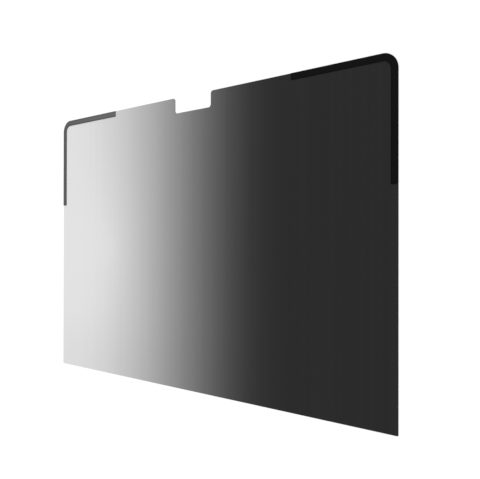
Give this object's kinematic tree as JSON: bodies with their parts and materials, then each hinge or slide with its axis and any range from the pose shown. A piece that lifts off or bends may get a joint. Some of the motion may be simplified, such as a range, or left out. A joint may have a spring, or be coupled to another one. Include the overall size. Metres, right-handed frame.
{
  "type": "laptop privacy filter",
  "caption": "Thin flat privacy filter for a laptop screen: film sheet with rounded upper corners, a camera notch in the top edge and L-shaped holding strips on the upper corners.",
  "frame": {"origin": "middle of the back face, on the surface that the sheet lies on", "axes": "+X along the width, to the right as seen from the front; +Y up the height, to the notched edge; +Z out of the front face"},
  "size_m": [0.308, 0.202, 0.0009],
  "materials": {
    "filter_film": "smooth satin film, pale grey at the left fading to near black at the right",
    "corner_strip": "matte black"
  },
  "bodies": {
    "root": {"filter_sheet": "filter_film", "left_corner_strip": "corner_strip", "right_corner_strip": "corner_strip"}
  },
  "joints": []
}
